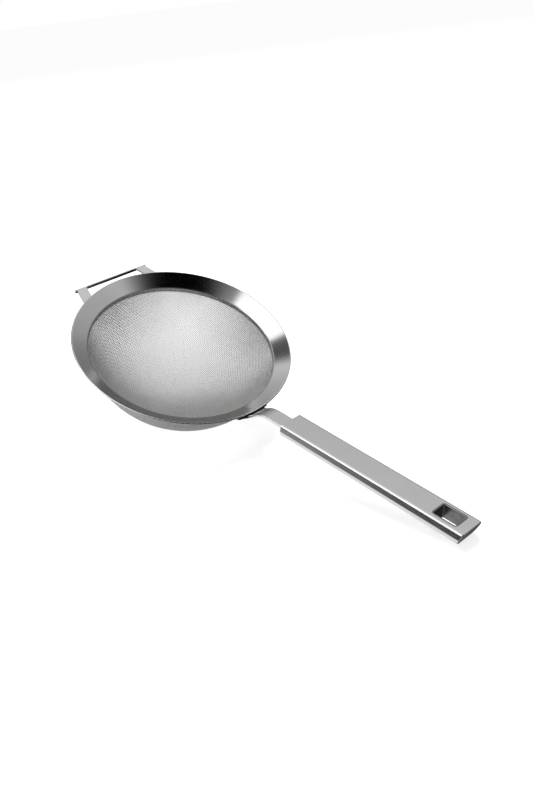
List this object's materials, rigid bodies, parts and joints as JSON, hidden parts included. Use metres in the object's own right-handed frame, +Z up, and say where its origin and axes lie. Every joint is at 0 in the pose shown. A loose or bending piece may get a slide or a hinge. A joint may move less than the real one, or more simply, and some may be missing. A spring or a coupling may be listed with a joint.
{
  "type": "tea strainer",
  "caption": "Handled tea strainer: woven wire bowl in a conical steel rim, with a rest bracket on one side and a hollow flat handle with a hanging hole on the other.",
  "frame": {"origin": "on the surface it lies on, under the middle of the strainer's outline", "axes": "+X along the strainer from the rest bracket to the handle's end, +Z up, Y across; the strainer lies on the crown of its bowl and the end of its handle"},
  "size_m": [0.2094, 0.1, 0.0595],
  "materials": {
    "polished_steel": "polished stainless steel",
    "satin_steel": "satin stainless steel",
    "wire_cloth": "woven stainless wire",
    "plain_steel": "plain stainless steel"
  },
  "bodies": {
    "root": {"rim": "polished_steel", "mesh_bowl": "wire_cloth", "clamp_ring": "plain_steel", "neck": "polished_steel", "handle_upper_shell": "satin_steel", "handle_lower_shell": "satin_steel", "mouth_plug": "plain_steel", "hanging_sleeve": "satin_steel", "rest_bracket": "polished_steel"}
  },
  "joints": []
}
